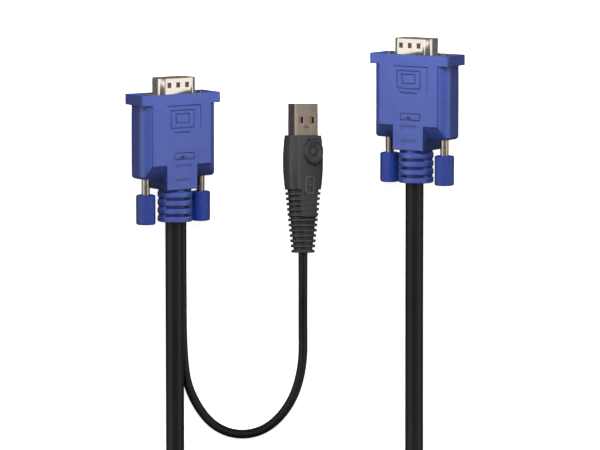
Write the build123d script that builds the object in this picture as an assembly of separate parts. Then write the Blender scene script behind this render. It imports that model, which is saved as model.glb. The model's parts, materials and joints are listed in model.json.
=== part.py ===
from build123d import *

import os
from math import cos, hypot, pi, radians, sin, tan

# A cable set for a keyboard, video and mouse switch, lying on a table (z = 0).
# Two 15-pin video plugs face +Y. A thick cable joins them, and a thin USB lead leaves one plug beside it.
# Sizes are in millimetres. Each plug is drawn in its own axes: X across, -Y its front, +Z the way it mates.
# A video plug's z = 0 is the rim of its hood, and a USB plug's z = 0 is the end face of its hood.

# ---- where the plugs lie: x and y of each origin, roll about its length, and pitch of its mating end ----
PC_PLUG_AT = (-46.9, 14.4)
SWITCH_PLUG_AT = (46.9, 29.4)
VIDEO_ROLL = 34.5
VIDEO_PITCH = 5.5
USB_PLUG_AT = (3.05, -1.95)
USB_ROLL = 42.5
USB_PITCH = 0.0

# ---- video plug: D shell and the folded can behind it ----
SHELL_WIDE = 17.7
SHELL_DEEP = 9.2
SHELL_SLANT = 10.0
SHELL_CORNER = 2.6
SHELL_WALL = 0.4
SHELL_TIP = 6.0
SHELL_TIP_ROUND = 0.24
SHELL_DIMPLES = (-4.5, -0.5, 3.5)
DIMPLE_WIDE = 1.7
DIMPLE_TALL = 2.0
DIMPLE_DEPTH = 0.2
DIMPLE_Z = 3.3
FIT_GAP = 0.05
REAR_GAP = 0.1
REAR_LONG = 5.5
CAN_WALL = 0.25
CAN_SIDE_GAP = 0.3
CAN_CORNER = 1.0
REAR_WALLS = REAR_GAP + SHELL_WALL
CAN_WIDE = SHELL_WIDE + 2 * (REAR_WALLS + CAN_SIDE_GAP + CAN_WALL)
CAN_DEEP = SHELL_DEEP + 2 * (REAR_WALLS + FIT_GAP + CAN_WALL)

# ---- video plug: two flanges, riveted together by eyelets that the thumbscrews pass through ----
EYELET_HEAD = 2.5
EYELET_HEAD_THICK = 0.4
EYELET_WALL = 0.47
EYELET_TO_CAN = 0.095
SCREW_SPACING = CAN_WIDE + 2 * (EYELET_HEAD + EYELET_TO_CAN)
FLANGE_PAST_EYELET = 0.405
FLANGE_PAST_CAN = 0.65
FLANGE_THICK = 0.6
FLANGE_CORNER = 0.6
FLANGE_WIDE = SCREW_SPACING + 2 * (EYELET_HEAD + FLANGE_PAST_EYELET)
FLANGE_DEEP = CAN_DEEP + 2 * FLANGE_PAST_CAN
FLANGE_FRONT = -0.35
FLANGE_MIDDLE = FLANGE_FRONT - FLANGE_THICK
FLANGE_BACK = FLANGE_MIDDLE - FLANGE_THICK
REAR_END = FLANGE_BACK - REAR_LONG

# ---- video plug: insulator, pins, wires and inner mould ----
INSULATOR_TOP = 0.4
PIN_DIAMETER = 0.76
PIN_TIP = 5.0
PIN_TIP_ROUND = 0.34
PIN_TAIL = 2.5
PIN_END = REAR_END - PIN_TAIL
PIN_COLUMNS = 5
PIN_PITCH = 2.29
ROW_PITCH = 1.98
WIRE_DIAMETER = 0.7
WIRE_OVERLAP = 0.3
WIRE_END_GAP = 0.1
WIRE_GATHER_X = 0.34
WIRE_GATHER_Y = 0.6
SPLICE_WIRE_DIAMETER = 0.735
SPLICE_WIRE_SPREAD = 0.44
MOULD_CORNER = 0.8

# ---- video plug: hood ----
HOOD_LONG = 32.4
HEAD_SIDE_LIP = 2.4
HEAD_FRONT_LIP = 0.55
HEAD_WIDE = FLANGE_WIDE + 2 * HEAD_SIDE_LIP
HEAD_DEEP = FLANGE_DEEP + 2 * HEAD_FRONT_LIP
HEAD_TALL = 4.1
HEAD_CORNER = 0.9
EDGE_ROUND = 0.45
RIM_ROUND = 0.27
BODY_WALL = 0.6
BODY_DEEP = CAN_DEEP + 2 * BODY_WALL
BODY_CORNER = 4.0
CHAMBER_WALL = 1.655
BODY_END = -HOOD_LONG
BODY_END_ROUND = 1.3
CAN_BACK = BODY_END + 9.4
SLOPE_START = BODY_END + 4.9
SLOPE_DEPTH = 2.8
PANEL_WIDE = 26.8
TONGUE_WIDE = 14.1
TONGUE_END = BODY_END - 4.5

# ---- video plug: marks cut into the front panel and the tongue below it, each (x, z, width, height) ----
MARK_DEPTH = 0.25
MARK_LINE = 0.45
SCREEN_MARK = (0.2, -9.7, 10.9, 7.2)
GLASS_MARK = (0.2, -9.4, 6.3, 3.9)
FOOT_MARK = (0.2, -14.8, 7.4, MARK_LINE)
TOP_LINE_MARK = (0.95, -4.6, 15.1, MARK_LINE)
SIDE_LINE_MARK = (8.5, -9.25, MARK_LINE, 9.3)
GATE_MARK = (1.0, -24.0, 9.2, 2.9)
GATE_POCKET = (0.35, -24.4, 1.2, 1.2)
GATE_POCKET_DEPTH = 0.5
TONGUE_POCKETS = ((0.45, -28.6, 6.9, 2.5), (0.45, -34.25, 6.6, 2.9))
POCKET_DEPTH = 0.35

# ---- thumbscrews ----
SCREW_RADIUS = 1.6
THREAD_RADIUS = 1.42
THREAD_LENGTH = 5.2
THREAD_TIP = 0.5
THREAD_CHAMFER = 0.3
NECK_DROP = 0.17
SCREW_TRAVEL = 5.5
SHOULDER_GAP = 0.45
SHOULDER_Z = FLANGE_BACK - EYELET_HEAD_THICK - SCREW_TRAVEL - SHOULDER_GAP
EYELET_GAP = 0.11
EYELET_BORE = THREAD_RADIUS + EYELET_GAP
RUNNING_GAP = 0.08
CHANNEL_GAP = 0.2
KNOB_RADIUS = 3.75
KNOB_LONG = 11.4
KNOB_GAP = 0.8
KNOB_TOP = BODY_END - SCREW_TRAVEL - KNOB_GAP
KNOB_END = KNOB_TOP - KNOB_LONG
KNOB_FLUTES = 24
FLUTE_RADIUS = 0.28
KNOB_CHAMFER = 0.5
KNOB_FLOOR = 1.2
CLIP_REACH = 0.85
CLIP_THICK = 0.8
CLIP_GAP = 0.04
CLIP_FLOOR = 1.5
CLIP_RADIUS = SCREW_RADIUS + CLIP_REACH
CLIP_GROOVE = SCREW_RADIUS - 0.4
CLIP_OPENING = 1.92
CLIP_Z = BODY_END + CLIP_FLOOR

# ---- cables, and the strain relief that they leave by ----
CABLE_DIAMETER = 7.05
LEAD_DIAMETER = 3.5
CABLE_START = CAN_BACK - 4.5
CABLE_OFFSET = (-0.3, -1.2)
LEAD_BESIDE_DEG = 23.6
LEAD_STEP = (CABLE_DIAMETER + LEAD_DIAMETER) / 2
LEAD_OFFSET = (
    CABLE_OFFSET[0] + LEAD_STEP * cos(radians(LEAD_BESIDE_DEG)),
    CABLE_OFFSET[1] + LEAD_STEP * sin(radians(LEAD_BESIDE_DEG)),
)
BORE_GAP = 0.02
RING_THICK = 0.45
RING_LONG = 4.0
RELIEF_CENTRE = (0.2, -0.9)
RELIEF_WALL = 1.375
RIB_WALL = 0.3
RELIEF_CORE = CABLE_DIAMETER / 2 + RELIEF_WALL
LEAD_REACH = hypot(LEAD_OFFSET[0] - RELIEF_CENTRE[0], LEAD_OFFSET[1] - RELIEF_CENTRE[1]) + LEAD_DIAMETER / 2
RELIEF_RADIUS = LEAD_REACH + RIB_WALL
RIB_COUNT = 4
RIB_TALL = 2.15
RIB_PITCH = 3.15
RELIEF_END = TONGUE_END - RIB_COUNT * RIB_PITCH
BRIDGE_WIDE = 4.2
BRIDGE_DROP = 0.5

# ---- USB plug ----
USB_WIDE = 12.0
USB_DEEP = 4.5
USB_WALL = 0.3
USB_CORNER = 0.5
USB_TIP = 12.2
USB_INSIDE = 6.5
USB_WINDOW = (1.9, 2.1)
USB_WINDOW_X = 2.85
USB_WINDOW_Z = 5.9
WINDOW_LIP = 0.2
USB_DIMPLE_Z = 2.5
USB_DIMPLE_RADIUS = 0.6
USB_TONGUE_THICK = 1.85
USB_TONGUE_TIP = 11.3
USB_CONTACT_X = (-3.5, -1.0, 1.0, 3.5)
USB_CONTACT_WIDE = 1.0
USB_CONTACT_THICK = 0.2
USB_CONTACT_LENGTHS = (7.4, 6.4, 6.4, 7.4)
USB_CONTACT_SETBACK = 0.8
USB_MOULD_BACK = -16.0
USB_MOULD_WIDE = USB_WIDE - 1.0
USB_MOULD_DEEP = USB_DEEP + 0.9
USB_LEAD_START = USB_MOULD_BACK - 1.0
USB_WIRE_SPREAD = 0.5

# ---- USB hood: (z, wall at each side, wall in front and behind, corner) down its length, then the fins ----
USB_HOOD_WALLS = ((0.0, 1.85, 1.45, 2.9), (-9.0, 2.5, 1.9, 3.2), (-21.0, 1.6, 1.65, 3.1))
USB_HOOD_END = -45.3
USB_FIN_TIP = (8.9, 8.9, 4.4)
USB_FIN_COUNT = 12
USB_FIN_THICK = 1.05
USB_FIN_HEIGHT = 0.95
USB_FIN_ROUND = 0.3
USB_SPINE_WIDE = 8.3
USB_SPINE_END = -31.7
USB_SPINE_DROP = 0.1
USB_SPINE_CORNER = 0.6
BOSS_AT = (1.5, -6.3)
BOSS_RADIUS = 5.0
BOSS_RISE = 0.75
BOSS_DISH = 2.5
BOSS_DISH_DEPTH = 0.5

# ---- coil of the cable that is put away, and its tie ----
COIL_AT = (0.0, -180.0)
COIL_INNER_TURN = 31.4
COIL_OUTER_TURN = COIL_INNER_TURN + 2 * CABLE_DIAMETER
COIL_LAYER_RISE = CABLE_DIAMETER
COIL_CORNER = 3.4
TIE_THICK = 0.85
TIE_GAP = 0.05
TIE_WIDE_DEG = 15.0
TIE_ANGLE = 262.0

# ---- routes of the cables past the straight stretch out of each plug, chosen by hand ----
PC_CABLE_OUT = 26.0
PC_CABLE_ROUTE = ((-46.5, -104.0, 5.0), (-46.4, -143.0, 4.35), (-45.7, -180.0, 4.45))
SWITCH_CABLE_OUT = 26.0
SWITCH_CABLE_ROUTE = ((46.1, -90.0, 4.2), (46.1, -133.0, 4.3), (45.7, -180.0, 11.45))
LEAD_OUT = 17.0
LEAD_ROUTE = (
    (-43.6, -92.5, 2.0),
    (-39.2, -105.5, 1.8),
    (-31.4, -115.4, 1.8),
    (-20.5, -118.8, 1.8),
    (-9.5, -115.4, 1.8),
    (-0.8, -105.0, 1.8),
    (3.15, -91.0, 1.8),
    (3.0, -74.5, 2.6),
)
LEAD_INTO_USB = 11.0
RUN_SHARE = 0.45


# ---- small helpers ----
def slab(width, depth, low, high, corner, at=(0.0, 0.0)):
    """Upright block with rounded upright edges, from height low to high."""
    return Pos(at[0], at[1], low) * extrude(RectangleRounded(width, depth, corner), amount=high - low)


def rod(radius, low, high, at=(0.0, 0.0)):
    """Upright cylinder from height low to high."""
    return Pos(at[0], at[1], low) * extrude(Circle(radius), amount=high - low)


def tube(outer, inner, low, high, at=(0.0, 0.0)):
    """Upright pipe from height low to high."""
    return rod(outer, low, high, at) - rod(inner, low, high, at)


def block(x, y, z):
    """Box between the given (low, high) pairs."""
    size = [pair[1] - pair[0] for pair in (x, y, z)]
    centre = [(pair[1] + pair[0]) / 2 for pair in (x, y, z)]
    return Pos(*centre) * Box(*size)


def strut(start, end, radius):
    """Straight cylinder between two points."""
    line = Vector(*end) - Vector(*start)
    return Plane(origin=start, z_dir=line) * extrude(Circle(radius), amount=line.length)


def join(pieces):
    """All the pieces fused into one."""
    whole = pieces[0]
    for piece in pieces[1:]:
        whole = whole + piece
    return whole


def group(pieces):
    """Separate solids kept in one node."""
    return Compound([solid for piece in pieces for solid in piece.solids()])


def rounded(solid, low, high, radius):
    """The solid with its level edges between two heights rounded."""
    edges = [e for e in solid.edges() if low <= e.bounding_box().min.Z and e.bounding_box().max.Z <= high]
    return fillet(edges, radius)


# ---- video plug, in its own axes ----
def d_outline(grow=0.0):
    """D outline of the shell, wide side at the front, grown outwards by a distance."""
    narrow = SHELL_WIDE - 2 * SHELL_DEEP * tan(radians(SHELL_SLANT))
    front, back = -SHELL_DEEP / 2, SHELL_DEEP / 2
    corners = ((-SHELL_WIDE / 2, front), (SHELL_WIDE / 2, front), (narrow / 2, back), (-narrow / 2, back))
    outline = Polygon(*corners, align=None)
    outline = fillet(outline.vertices(), SHELL_CORNER)
    return offset(outline, amount=grow) if grow else outline


def d_block(grow, low, high):
    return Pos(0, 0, low) * extrude(d_outline(grow), amount=high - low)


def screw_places():
    return ((-SCREW_SPACING / 2, 0.0), (SCREW_SPACING / 2, 0.0))


def eyelet_radius():
    return EYELET_BORE + EYELET_WALL


def front_shell():
    plate = slab(FLANGE_WIDE, FLANGE_DEEP, FLANGE_MIDDLE, FLANGE_FRONT, FLANGE_CORNER)
    nose = d_block(0.0, FLANGE_MIDDLE, SHELL_TIP)
    nose = rounded(nose, SHELL_TIP - 0.01, SHELL_TIP + 0.01, SHELL_TIP_ROUND)
    shell = plate + nose - d_block(-SHELL_WALL, FLANGE_MIDDLE, SHELL_TIP)
    for place in screw_places():
        shell = shell - rod(eyelet_radius(), FLANGE_MIDDLE, FLANGE_FRONT, place)
    front = -SHELL_DEEP / 2
    for x in SHELL_DIMPLES:
        across = (x - DIMPLE_WIDE / 2, x + DIMPLE_WIDE / 2)
        up = (DIMPLE_Z - DIMPLE_TALL / 2, DIMPLE_Z + DIMPLE_TALL / 2)
        shell = shell - block(across, (front - 1, front + DIMPLE_DEPTH), up)
    return shell


def rear_shell():
    plate = slab(FLANGE_WIDE, FLANGE_DEEP, FLANGE_BACK, FLANGE_MIDDLE, FLANGE_CORNER)
    skirt = d_block(REAR_WALLS, REAR_END, FLANGE_BACK)
    shell = plate + skirt - d_block(REAR_GAP, REAR_END, FLANGE_MIDDLE)
    for place in screw_places():
        shell = shell - rod(eyelet_radius(), FLANGE_BACK, FLANGE_MIDDLE, place)
    return shell


def eyelets():
    """Two tubular rivets, flush in front and rolled over behind the rear flange."""
    pieces = []
    for place in screw_places():
        barrel = rod(eyelet_radius(), FLANGE_BACK, FLANGE_FRONT, place)
        head = rod(EYELET_HEAD, FLANGE_BACK - EYELET_HEAD_THICK, FLANGE_BACK, place)
        bore = rod(EYELET_BORE, FLANGE_BACK - EYELET_HEAD_THICK, FLANGE_FRONT, place)
        pieces.append(barrel + head - bore)
    return group(pieces)


def pin_places():
    """Fifteen places in three staggered rows."""
    places = []
    for row in (-1, 0, 1):
        stagger = PIN_PITCH / 4 if row else -PIN_PITCH / 4
        for column in range(PIN_COLUMNS):
            x = (column - (PIN_COLUMNS - 1) / 2) * PIN_PITCH + stagger
            places.append((x, row * ROW_PITCH))
    return places


def contact_pins():
    pieces = []
    for place in pin_places():
        pin = rod(PIN_DIAMETER / 2, PIN_END, PIN_TIP, place)
        pieces.append(rounded(pin, PIN_TIP - 0.01, PIN_TIP + 0.01, PIN_TIP_ROUND))
    return group(pieces)


def insulator():
    nose = d_block(-SHELL_WALL - FIT_GAP, FLANGE_MIDDLE, INSULATOR_TOP)
    back = d_block(REAR_GAP - FIT_GAP, REAR_END, FLANGE_MIDDLE)
    holes = [rod(PIN_DIAMETER / 2, REAR_END, INSULATOR_TOP, place) for place in pin_places()]
    return nose + back - holes


def wire_struts():
    """Conductors that gather from the solder cups into the cable."""
    pieces = []
    for x, y in pin_places():
        start = (x, y, PIN_END + WIRE_OVERLAP)
        gathered = (CABLE_OFFSET[0] + x * WIRE_GATHER_X, CABLE_OFFSET[1] + y * WIRE_GATHER_Y)
        pieces.append(strut(start, (*gathered, CABLE_START + WIRE_END_GAP), WIRE_DIAMETER / 2))
    return pieces


def inner_mould():
    width, depth = CAN_WIDE - 2 * (CAN_WALL + FIT_GAP), CAN_DEEP - 2 * (CAN_WALL + FIT_GAP)
    body = slab(width, depth, CAN_BACK + CAN_WALL + FIT_GAP, REAR_END, MOULD_CORNER)
    pins = [rod(PIN_DIAMETER / 2, PIN_END, REAR_END, place) for place in pin_places()]
    return body - pins - wire_struts()


def shield_can(openings):
    """Folded can behind the flange, with a hole in its end for each cable's wires."""
    can = slab(CAN_WIDE, CAN_DEEP, CAN_BACK, FLANGE_BACK, CAN_CORNER)
    inside = (CAN_WIDE - 2 * CAN_WALL, CAN_DEEP - 2 * CAN_WALL)
    can = can - slab(*inside, CAN_BACK + CAN_WALL, FLANGE_BACK, CAN_CORNER - CAN_WALL)
    for place, radius in openings:
        can = can - rod(radius, CAN_BACK, CAN_BACK + CAN_WALL, place)
    return can


def crimp_ring(bores):
    """Ring that holds the braid, round the first stretch of the cable, cut away beside the USB lead."""
    ring = rod(CABLE_DIAMETER / 2 + BORE_GAP + RING_THICK, CABLE_START - RING_LONG, CABLE_START, CABLE_OFFSET)
    return ring - [rod(radius, CABLE_START - RING_LONG, CABLE_START, place) for place, radius in bores]


def relief():
    """Ribbed strain relief: a core, ribs, and bridges at both sides that join the ribs."""
    pieces = [rod(RELIEF_CORE, RELIEF_END, BODY_END, RELIEF_CENTRE)]
    for index in range(RIB_COUNT):
        low = RELIEF_END + index * RIB_PITCH
        rib = rod(RELIEF_RADIUS, low, low + RIB_TALL, RELIEF_CENTRE)
        pieces.append(rounded(rib, low - 0.01, low + RIB_TALL + 0.01, EDGE_ROUND))
    reach = RELIEF_RADIUS - BRIDGE_DROP
    across = (RELIEF_CENTRE[0] - reach, RELIEF_CENTRE[0] + reach)
    along = (RELIEF_CENTRE[1] - BRIDGE_WIDE / 2, RELIEF_CENTRE[1] + BRIDGE_WIDE / 2)
    pieces.append(block(across, along, (RELIEF_END + RIB_TALL / 2, TONGUE_END)))
    return join(pieces)


def slope_cut(side):
    """Wedge that slopes the body's lower end inwards, at the front (-1) or the back (1)."""
    outer = side * (BODY_DEEP / 2 + 1)
    face, foot = side * BODY_DEEP / 2, side * (BODY_DEEP / 2 - SLOPE_DEPTH)
    low = BODY_END - 1
    profile = Polyline((outer, SLOPE_START), (face, SLOPE_START), (foot, low), (outer, low), close=True)
    return extrude(Plane.YZ * make_face(profile), amount=HEAD_WIDE, both=True)


def body_wide():
    """Width of the hood's body, which holds a clip's chamber at each side."""
    return SCREW_SPACING + 2 * (chamber_radius() + CHAMBER_WALL)


def chamber_radius():
    return CLIP_RADIUS + CHANNEL_GAP


def panel():
    """Raised panel that narrows to a tongue over the slope, the same in front and behind."""
    half, tongue = PANEL_WIDE / 2, TONGUE_WIDE / 2
    right = ((half, -HEAD_TALL / 2), (half, SLOPE_START), (tongue, SLOPE_START), (tongue, TONGUE_END))
    left = [(-x, z) for x, z in reversed(right)]
    raised = extrude(Plane.XZ * Polygon(*right, *left, align=None), amount=HEAD_DEEP / 2, both=True)
    rims = [e for e in raised.edges() if e.bounding_box().min.Z < -HEAD_TALL and e.bounding_box().size.Y < 0.01]
    return fillet(rims, EDGE_ROUND)


def hood_form():
    """Outside of the hood as one solid."""
    head = slab(HEAD_WIDE, HEAD_DEEP, -HEAD_TALL, 0, HEAD_CORNER)
    head = rounded(head, -HEAD_TALL - 0.01, 0.01, RIM_ROUND)
    body = slab(body_wide(), BODY_DEEP, BODY_END, -HEAD_TALL / 2, BODY_CORNER)
    body = rounded(body, BODY_END - 0.01, BODY_END + 0.01, BODY_END_ROUND)
    body = body - slope_cut(-1) - slope_cut(1)
    return join([head, body, panel(), relief()])


def mark(x, z, width, height, depth):
    """Shallow rectangular pocket in the front face."""
    reach = (-HEAD_DEEP, -HEAD_DEEP / 2 + depth)
    return block((x - width / 2, x + width / 2), reach, (z - height / 2, z + height / 2))


def frame_mark(x, z, width, height):
    """Thin rectangular outline in the front face."""
    outer = mark(x, z, width, height, MARK_DEPTH)
    return outer - mark(x, z, width - 2 * MARK_LINE, height - 2 * MARK_LINE, MARK_DEPTH)


def panel_marks():
    """Plain picture of a screen on a foot, lines beside it, a moulding gate, and two tongue pockets."""
    frames = [frame_mark(*place) for place in (SCREEN_MARK, GLASS_MARK, GATE_MARK)]
    lines = [mark(*place, MARK_DEPTH) for place in (FOOT_MARK, TOP_LINE_MARK, SIDE_LINE_MARK)]
    pockets = [mark(*place, POCKET_DEPTH) for place in TONGUE_POCKETS]
    return frames + lines + pockets + [mark(*GATE_POCKET, GATE_POCKET_DEPTH)]


def hood_hollows(bores):
    """What the hood is moulded round, taken from the same sizes as the pieces."""
    flange = slab(FLANGE_WIDE + 2 * FIT_GAP, FLANGE_DEEP + 2 * FIT_GAP, FLANGE_BACK, 1, FLANGE_CORNER)
    can = slab(CAN_WIDE, CAN_DEEP, CAN_BACK, FLANGE_BACK, CAN_CORNER)
    hollows = [flange, can]
    for place, radius in bores:
        hollows.append(rod(radius, RELIEF_END - 1, CAN_BACK, place))
    ring = CABLE_DIAMETER / 2 + BORE_GAP + RING_THICK
    hollows.append(rod(ring, CABLE_START - RING_LONG, CABLE_START, CABLE_OFFSET))
    for place in screw_places():
        head_low = FLANGE_BACK - EYELET_HEAD_THICK
        hollows.append(rod(EYELET_HEAD, head_low, FLANGE_BACK, place))
        hollows.append(rod(SCREW_RADIUS + CHANNEL_GAP, CLIP_Z, FLANGE_BACK, place))
        hollows.append(rod(SCREW_RADIUS + RUNNING_GAP, BODY_END - 1, CLIP_Z, place))
        top = CLIP_Z + CLIP_THICK + SCREW_TRAVEL + 2 * CLIP_GAP
        hollows.append(rod(chamber_radius(), CLIP_Z - CLIP_GAP, top, place))
    return hollows


def hood(bores):
    return hood_form() - hood_hollows(bores) - panel_marks()


def screw():
    """Thumbscrew: threaded tip, thin neck, shank with a groove for its clip, and a plain end in the knob."""
    thread_low = THREAD_TIP - THREAD_LENGTH
    tip = rod(THREAD_RADIUS, thread_low, THREAD_TIP)
    tip = chamfer([e for e in tip.edges() if e.bounding_box().min.Z > THREAD_TIP - 0.01], THREAD_CHAMFER)
    neck = rod(THREAD_RADIUS - NECK_DROP, SHOULDER_Z, thread_low)
    shank = rod(SCREW_RADIUS, KNOB_END + KNOB_FLOOR, SHOULDER_Z)
    groove = tube(SCREW_RADIUS + 1, CLIP_GROOVE, CLIP_Z - CLIP_GAP, CLIP_Z + CLIP_THICK + CLIP_GAP)
    return tip + neck + shank - groove


def knob():
    """Fluted knob moulded on the end of the screw."""
    body = rod(KNOB_RADIUS, KNOB_END, KNOB_TOP)
    body = chamfer([e for e in body.edges().filter_by(GeomType.CIRCLE)], KNOB_CHAMFER)
    flutes = []
    for index in range(KNOB_FLUTES):
        angle = 2 * pi * index / KNOB_FLUTES
        place = (KNOB_RADIUS * cos(angle), KNOB_RADIUS * sin(angle))
        flutes.append(rod(FLUTE_RADIUS, KNOB_END, KNOB_TOP, place))
    return body - flutes - rod(SCREW_RADIUS, KNOB_END + KNOB_FLOOR, KNOB_TOP)


def clip():
    """Open ring in the screw's groove. It slides in its chamber in the hood and keeps the screw there."""
    ring = tube(CLIP_RADIUS, CLIP_GROOVE + CLIP_GAP, CLIP_Z, CLIP_Z + CLIP_THICK)
    gap = block((0, CLIP_RADIUS + 1), (-CLIP_OPENING / 2, CLIP_OPENING / 2), (CLIP_Z - 1, CLIP_Z + 2))
    return ring - gap


def splice_wires():
    """Four conductors from the USB lead into the inner mould's end, where they meet the cable's own."""
    steps = [(i * SPLICE_WIRE_SPREAD, j * SPLICE_WIRE_SPREAD) for i in (-1, 1) for j in (-1, 1)]
    places = [(LEAD_OFFSET[0] + x, LEAD_OFFSET[1] + y) for x, y in steps]
    high = CAN_BACK + CAN_WALL + FIT_GAP
    return group([rod(SPLICE_WIRE_DIAMETER / 2, CABLE_START, high, place) for place in places])


# ---- USB plug, in its own axes ----
def usb_outline(wall):
    return (USB_WIDE - 2 * wall, USB_DEEP - 2 * wall)


def window_lips(x):
    """What the pressed-in edges of a pair of windows, front and back, take off the shell's faces."""
    lips = []
    mouth = Rectangle(USB_WINDOW[0] + 2 * WINDOW_LIP, USB_WINDOW[1] + 2 * WINDOW_LIP)
    for side in (-1, 1):
        face = Plane(origin=(x, side * USB_DEEP / 2, USB_WINDOW_Z), x_dir=(1, 0, 0), z_dir=(0, -side, 0))
        lips.append(extrude(face * mouth, amount=WINDOW_LIP, taper=45))
    return lips


def usb_shell():
    outside = slab(*usb_outline(0), -USB_INSIDE, USB_TIP, USB_CORNER)
    inside = slab(*usb_outline(USB_WALL), -USB_INSIDE, USB_TIP, USB_CORNER - USB_WALL)
    shell = outside - inside
    for x in (-USB_WINDOW_X, USB_WINDOW_X):
        across = (x - USB_WINDOW[0] / 2, x + USB_WINDOW[0] / 2)
        up = (USB_WINDOW_Z - USB_WINDOW[1] / 2, USB_WINDOW_Z + USB_WINDOW[1] / 2)
        shell = shell - block(across, (-USB_DEEP, USB_DEEP), up) - window_lips(x)
    dimple = Pos(0, -USB_DEEP / 2, USB_DIMPLE_Z) * Sphere(USB_DIMPLE_RADIUS)
    floor = block((-1, 1), (-USB_DEEP / 2 + USB_WALL / 2, 0), (USB_DIMPLE_Z - 1, USB_DIMPLE_Z + 1))
    return shell - (dimple - floor)


def usb_tongue_y():
    """Low and high side of the tongue, which lies on the back wall of the shell."""
    back = USB_DEEP / 2 - USB_WALL
    return (back - USB_TONGUE_THICK, back)


def usb_tongue():
    half = USB_WIDE / 2 - USB_WALL - FIT_GAP
    low, high = usb_tongue_y()
    tongue = block((-half, half), (low, high - FIT_GAP), (-USB_INSIDE, USB_TONGUE_TIP))
    return tongue - usb_contact_bars(0.0)


def usb_contact_bars(rise):
    """Contact strips, let into the tongue, standing out of it by a rise."""
    low = usb_tongue_y()[0]
    bars = []
    for x, length in zip(USB_CONTACT_X, USB_CONTACT_LENGTHS):
        across = (x - USB_CONTACT_WIDE / 2, x + USB_CONTACT_WIDE / 2)
        top = USB_TONGUE_TIP - USB_CONTACT_SETBACK
        bars.append(block(across, (low - rise, low + USB_CONTACT_THICK), (top - length, top)))
    return bars


def usb_contacts():
    return group(usb_contact_bars(USB_CONTACT_THICK / 2))


def usb_wire_struts():
    """Four conductors from the tongue's end, gathering into the lead."""
    y = (usb_tongue_y()[0] + usb_tongue_y()[1]) / 2
    pieces = []
    for index, x in enumerate(USB_CONTACT_X):
        corner = (USB_WIRE_SPREAD * (-1 if index < 2 else 1), USB_WIRE_SPREAD * (-1 if index % 2 else 1))
        start = (x, y, -USB_INSIDE - WIRE_END_GAP)
        pieces.append(strut(start, (corner[0], corner[1], USB_LEAD_START + WIRE_END_GAP), WIRE_DIAMETER / 2))
    return pieces


def usb_inner_mould():
    body = slab(USB_MOULD_WIDE, USB_MOULD_DEEP, USB_MOULD_BACK, -USB_INSIDE, MOULD_CORNER)
    return body - usb_wire_struts()


def usb_crimp_ring():
    inner = LEAD_DIAMETER / 2 + BORE_GAP
    return tube(inner + RING_THICK, inner, USB_LEAD_START - RING_LONG, USB_LEAD_START)


def usb_hood_sections():
    """Height, width, depth and corner of each section of the smooth part of the hood."""
    return [(z, USB_WIDE + 2 * side, USB_DEEP + 2 * front, r) for z, side, front, r in USB_HOOD_WALLS]


def fin_section(z):
    """Width, depth and corner of the finned end at a height, between the hood's last section and its tip."""
    start = usb_hood_sections()[-1]
    share = (start[0] - z) / (start[0] - USB_HOOD_END)
    return [a + (b - a) * share for a, b in zip(start[1:], USB_FIN_TIP)]


def usb_core():
    """Solid core under the fins."""
    start = USB_HOOD_WALLS[-1][0]
    sections = []
    for z in (start, (start + USB_HOOD_END) / 2, USB_HOOD_END):
        width, depth, corner = fin_section(z)
        drop = 2 * USB_FIN_HEIGHT
        sections.append(Pos(0, 0, z) * RectangleRounded(width - drop, depth - drop, corner - USB_FIN_HEIGHT))
    return loft(sections)


def usb_fins():
    start = USB_HOOD_WALLS[-1][0]
    pitch = (start - USB_HOOD_END) / USB_FIN_COUNT
    fins = []
    for index in range(USB_FIN_COUNT):
        low = USB_HOOD_END + index * pitch
        width, depth, corner = fin_section(low + USB_FIN_THICK / 2)
        fin = slab(width, depth, low, low + USB_FIN_THICK, corner)
        fins.append(rounded(fin, low - 0.01, low + USB_FIN_THICK + 0.01, USB_FIN_ROUND))
    return fins


def usb_boss():
    """Round raised boss on the front, with a dish in it."""
    depth = usb_hood_sections()[1][2] / 2
    face = Plane(origin=(BOSS_AT[0], 0, BOSS_AT[1]), z_dir=(0, -1, 0))
    disc = face * extrude(Circle(BOSS_RADIUS), amount=depth + BOSS_RISE)
    return fillet(disc.edges().sort_by(Axis.Y)[0], EDGE_ROUND)


def usb_boss_dish():
    depth = usb_hood_sections()[1][2] / 2
    low = depth + BOSS_RISE - BOSS_DISH_DEPTH
    face = Plane(origin=(BOSS_AT[0], -low, BOSS_AT[1]), z_dir=(0, -1, 0))
    return face * extrude(Circle(BOSS_DISH), amount=2.0)


def usb_hood():
    sections = usb_hood_sections()
    body = loft([Pos(0, 0, z) * RectangleRounded(*size) for z, *size in sections])
    high, width, depth, corner = sections[-1]
    spine = slab(USB_SPINE_WIDE, depth - USB_SPINE_DROP, USB_SPINE_END, high + EDGE_ROUND, USB_SPINE_CORNER)
    form = join([body, usb_core(), spine, usb_boss()] + usb_fins()) - usb_boss_dish()
    hollows = [
        slab(*usb_outline(0), -USB_INSIDE, 1, USB_CORNER),
        slab(USB_MOULD_WIDE, USB_MOULD_DEEP, USB_MOULD_BACK, -USB_INSIDE, MOULD_CORNER),
        rod(LEAD_DIAMETER / 2 + BORE_GAP, USB_HOOD_END - 1, USB_MOULD_BACK),
        rod(LEAD_DIAMETER / 2 + BORE_GAP + RING_THICK, USB_LEAD_START - RING_LONG, USB_LEAD_START),
    ]
    return form - hollows


# ---- placing the plugs on the table ----
def turned(roll, pitch):
    """Turn that lays a plug down facing +Y, rolls it about its length and lifts its mating end."""
    return Rot(pitch, 0, 0) * Rot(0, roll, 0) * Rot(-90, 0, 0)


def resting(at, roll, pitch, touching):
    """Place for a plug so that the lowest of the touching pieces is on the table."""
    turn = turned(roll, pitch)
    lowest = min((turn * piece).bounding_box().min.Z for piece in touching)
    return Pos(at[0], at[1], -lowest) * turn


def point_on(place, x, y, z):
    """A point of a placed plug, in the table's axes."""
    return (place * Pos(x, y, z)).position


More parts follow.
